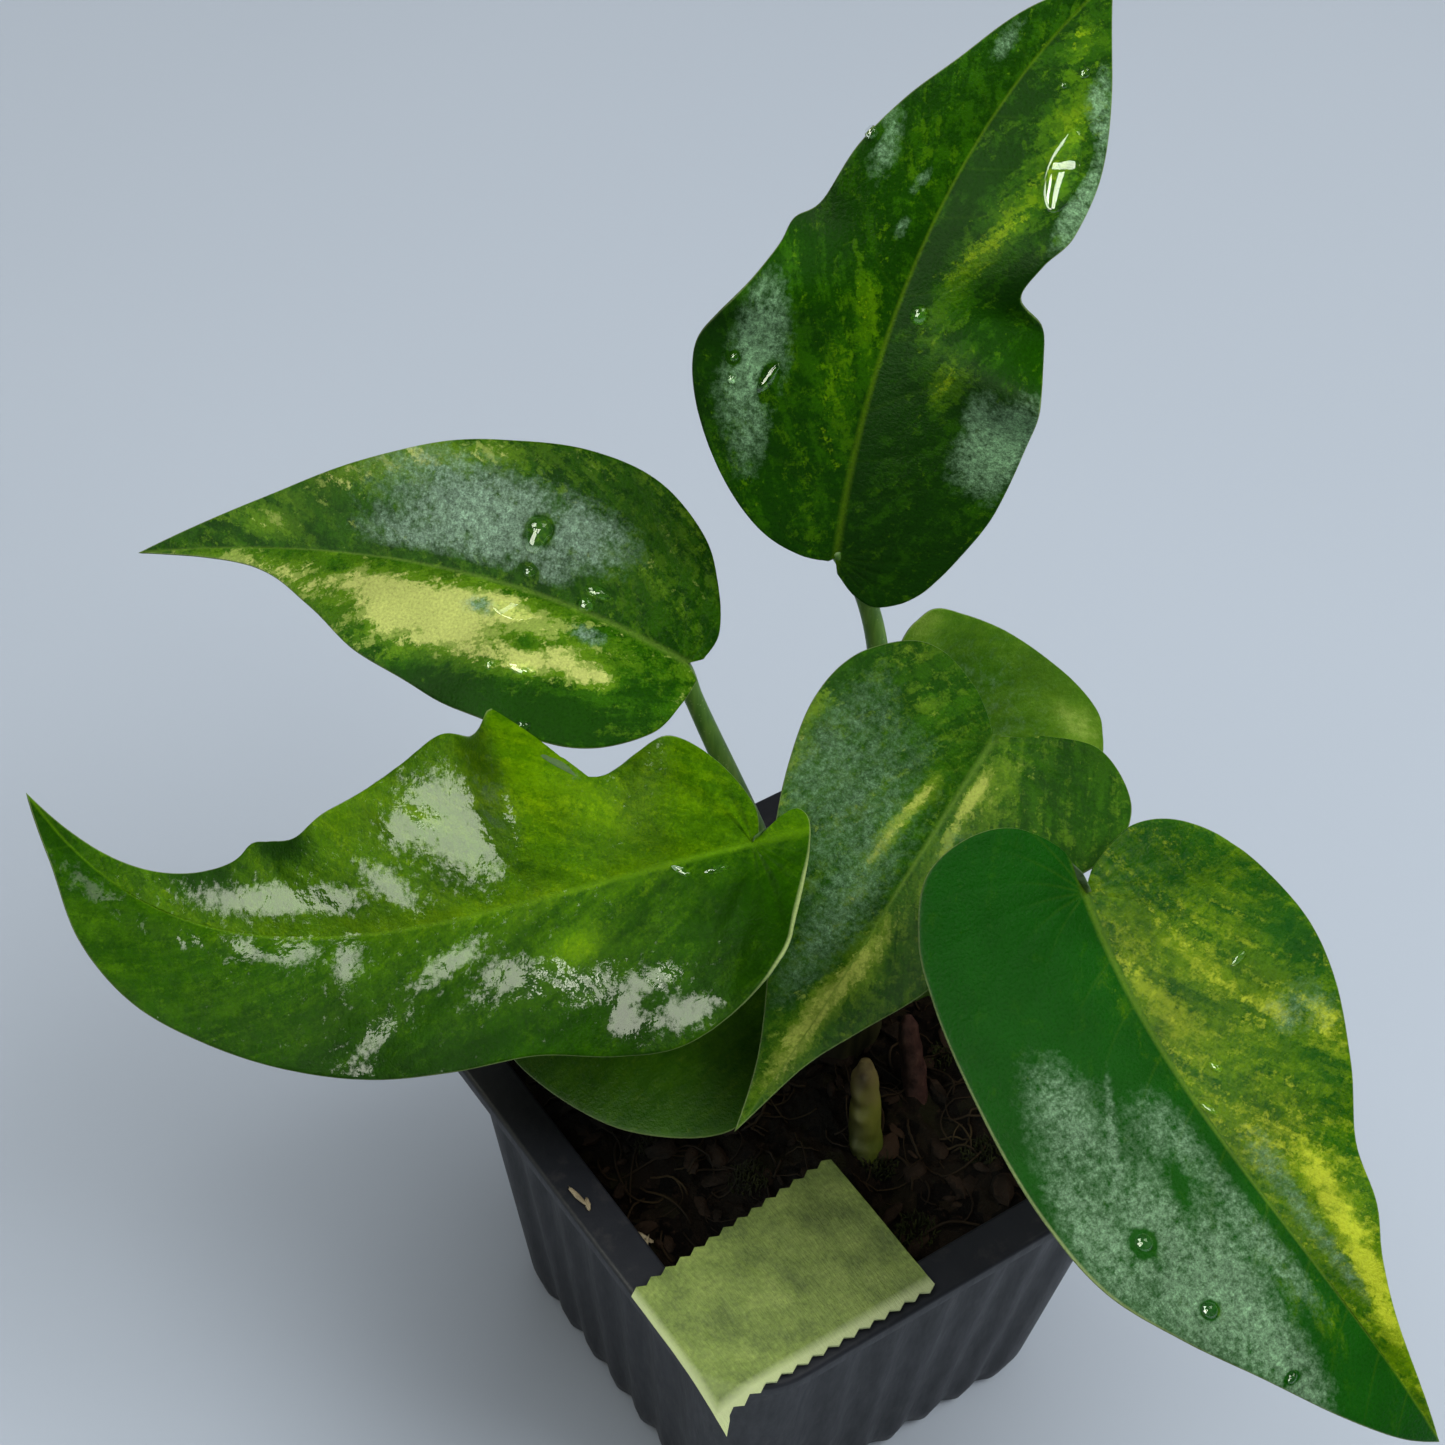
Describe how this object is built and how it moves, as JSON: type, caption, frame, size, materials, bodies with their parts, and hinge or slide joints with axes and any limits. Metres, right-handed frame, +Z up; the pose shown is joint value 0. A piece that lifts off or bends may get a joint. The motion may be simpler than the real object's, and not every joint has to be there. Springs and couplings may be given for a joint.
{
  "type": "potted anthurium",
  "caption": "Young anthurium with long, waved, variegated heart-shaped leaves on slender stalks, growing in a small square tapered nursery pot with plain tape across a corner of its rim.",
  "frame": {"origin": "centre of the pot's flat base, on the surface it stands on", "axes": "+Z up, X and Y along the sides of the pot's square rim; the corner with the tape is towards -X and -Y"},
  "size_m": [0.1236, 0.1603, 0.1848],
  "materials": {
    "pot_plastic": "satin",
    "potting_mix": "matte",
    "crown": "satin",
    "leaf_dark_green": "satin",
    "leaf_cream_and_green": "satin",
    "leaf_bright_green": "gloss",
    "leaf_satin_green": "satin",
    "leaf_green_and_yellow": "satin",
    "leaf_mottled_green": "satin",
    "leaf_plain_green": "satin",
    "petiole": "satin",
    "pale_shoot": "satin",
    "brown_root": "matte",
    "masking_tape": "matte",
    "water": "gloss",
    "moss_and_fibre": "matte",
    "chaff": "matte"
  },
  "bodies": {
    "root": {"pot": "pot_plastic", "soil": "potting_mix", "crown": "crown", "upright_leaf_blade": "leaf_dark_green", "upright_leaf_petiole": "petiole", "rear_left_leaf_blade": "leaf_cream_and_green", "rear_left_leaf_petiole": "petiole", "front_left_leaf_blade": "leaf_bright_green", "front_left_leaf_petiole": "petiole", "centre_leaf_blade": "leaf_satin_green", "centre_leaf_petiole": "petiole", "front_right_leaf_blade": "leaf_green_and_yellow", "front_right_leaf_petiole": "petiole", "rear_right_leaf_blade": "leaf_mottled_green", "rear_right_leaf_petiole": "petiole", "low_leaf_blade": "leaf_plain_green", "low_leaf_petiole": "petiole", "pale_stub": "pale_shoot", "brown_stub": "brown_root", "tape": "masking_tape"}
  },
  "joints": []
}
